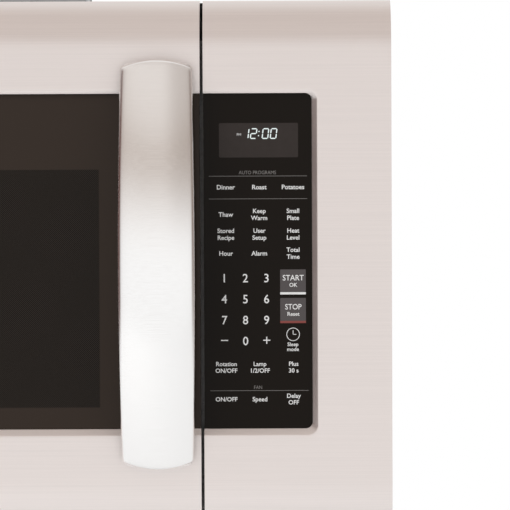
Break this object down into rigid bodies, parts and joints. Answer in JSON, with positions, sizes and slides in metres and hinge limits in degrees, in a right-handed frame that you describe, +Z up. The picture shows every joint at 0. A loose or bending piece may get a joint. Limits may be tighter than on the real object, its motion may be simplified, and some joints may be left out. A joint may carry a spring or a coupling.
{
  "type": "over the range microwave",
  "caption": "Over the range microwave with vent hood: stainless door and control bezel around one black glass recess, bowed handle, turntable, blower and filters.",
  "frame": {"origin": "middle of the wall plate's face on the wall, at half the height of the case", "axes": "+Z up, +X to the right of someone who faces the appliance, front towards -Y"},
  "size_m": [0.759, 0.449, 0.4408],
  "materials": {
    "stainless": "horizontal fine brushed",
    "black_glass": "polished, black printed on the back",
    "black_paint": "fine textured satin",
    "galvanised": "galvanised",
    "enamel": "satin",
    "white_plastic": "moulded",
    "black_plastic": "moulded",
    "charcoal": "granular",
    "circuit": "solder mask",
    "clear_glass": "clear",
    "spring_steel": "bright",
    "transformer_steel": "varnished",
    "aluminium": "mill",
    "filter_mesh": "layered aluminium mesh",
    "mica": "pressed mica"
  },
  "bodies": {
    "cabinet": {"case_wrap": "black_paint", "back_panel": "galvanised", "base_plate": "black_paint", "wall_plate": "galvanised", "oven_cavity": "enamel", "front_frame": "enamel", "cavity_lamp": "galvanised", "humidity_sensor": "white_plastic", "vent_grille": "black_plastic", "charcoal_filter": "charcoal", "cord_bushing": "black_plastic", "hinge_upper": "galvanised", "hinge_lower": "galvanised", "control_bezel": "stainless", "control_glass": "black_glass", "key_membrane": "black_plastic", "display_module": "black_plastic", "control_board": "circuit", "panel_chassis": "black_plastic", "relay_board": "circuit", "latch_board": "white_plastic", "turntable_motor": "galvanised", "blower_housing_right": "galvanised", "blower_housing_left": "galvanised", "blower_motor": "black_paint", "exhaust_adaptor": "galvanised", "hv_transformer": "transformer_steel", "hv_capacitor": "aluminium", "magnetron": "aluminium", "waveguide": "galvanised", "mica_cover": "mica", "fan_housing": "black_plastic", "fan_motor": "black_paint", "lamp_lens_left": "clear_glass", "lamp_lens_right": "clear_glass", "cooktop_lamp_left": "white_plastic", "cooktop_lamp_right": "white_plastic"},
    "door": {"door_panel": "stainless", "door_glass": "black_glass", "door_frame": "black_paint", "choke_cover": "black_plastic", "inner_window": "clear_glass", "window_screen": "black_paint", "handle": "stainless", "latch_spring": "spring_steel"},
    "latch": {"door_latch": "white_plastic"},
    "turntable": {"turntable_shaft": "white_plastic", "turntable_coupler": "white_plastic", "glass_tray": "clear_glass"},
    "ring": {"roller_ring": "white_plastic"},
    "wheel_1": {"roller_1": "white_plastic"},
    "wheel_2": {"roller_2": "white_plastic"},
    "wheel_3": {"roller_3": "white_plastic"},
    "blower_rotor": {"blower_wheel_right": "galvanised", "blower_wheel_left": "galvanised", "blower_shaft": "spring_steel"},
    "cooling_fan": {"fan_blade": "black_plastic"},
    "damper": {"damper_flap": "galvanised"},
    "filter_left": {"grease_filter_left": "filter_mesh"},
    "filter_right": {"grease_filter_right": "filter_mesh"}
  },
  "joints": [
    {"name": "door_hinge", "type": "hinge", "parent": "cabinet", "child": "door", "pos_m": [-0.3705, -0.383, 0], "axis": [0, 0, -1], "range_deg": [0, 100]},
    {"name": "latch_lift", "type": "slide", "parent": "door", "child": "latch", "axis": [0, 0, 1], "range_m": [0, 0.004], "stiffness_N_per_m": 300, "springref_m": -0.004, "deforming": ["latch_spring"]},
    {"name": "turntable_spin", "type": "hinge", "parent": "cabinet", "child": "turntable", "pos_m": [-0.08, -0.18425, -0.15], "axis": [0, 0, 1], "continuous": true},
    {"name": "ring_spin", "type": "hinge", "parent": "cabinet", "child": "ring", "pos_m": [-0.08, -0.18425, -0.15], "axis": [0, 0, 1], "continuous": true},
    {"name": "wheel_1_spin", "type": "hinge", "parent": "ring", "child": "wheel_1", "pos_m": [0.023, -0.18425, -0.1417], "axis": [1, 0, 0], "continuous": true},
    {"name": "wheel_2_spin", "type": "hinge", "parent": "ring", "child": "wheel_2", "pos_m": [-0.1315, -0.09505, -0.1417], "axis": [-0.5, 0.866, 0], "continuous": true},
    {"name": "wheel_3_spin", "type": "hinge", "parent": "ring", "child": "wheel_3", "pos_m": [-0.1315, -0.27345, -0.1417], "axis": [-0.5, -0.866, 0], "continuous": true},
    {"name": "blower_spin", "type": "hinge", "parent": "cabinet", "child": "blower_rotor", "pos_m": [0, -0.1, 0.1603], "axis": [1, 0, 0], "continuous": true},
    {"name": "cooling_fan_spin", "type": "hinge", "parent": "cabinet", "child": "cooling_fan", "pos_m": [0.3, -0.05, 0.045], "axis": [0, 1, 0], "continuous": true},
    {"name": "damper_swing", "type": "hinge", "parent": "cabinet", "child": "damper", "pos_m": [0, -0.0295, 0.22105], "axis": [-1, 0, 0], "range_deg": [0, 75]},
    {"name": "filter_left_slide", "type": "slide", "parent": "cabinet", "child": "filter_left", "axis": [-1, 0, 0], "range_m": [0, 0.006]},
    {"name": "filter_right_slide", "type": "slide", "parent": "cabinet", "child": "filter_right", "axis": [1, 0, 0], "range_m": [0, 0.006]}
  ],
  "couplings": [
    {"joint": "ring_spin", "follows": "turntable_spin", "ratio": 0.5},
    {"joint": "wheel_1_spin", "follows": "turntable_spin", "ratio": -6.4375},
    {"joint": "wheel_2_spin", "follows": "turntable_spin", "ratio": -6.4375},
    {"joint": "wheel_3_spin", "follows": "turntable_spin", "ratio": -6.4375}
  ]
}
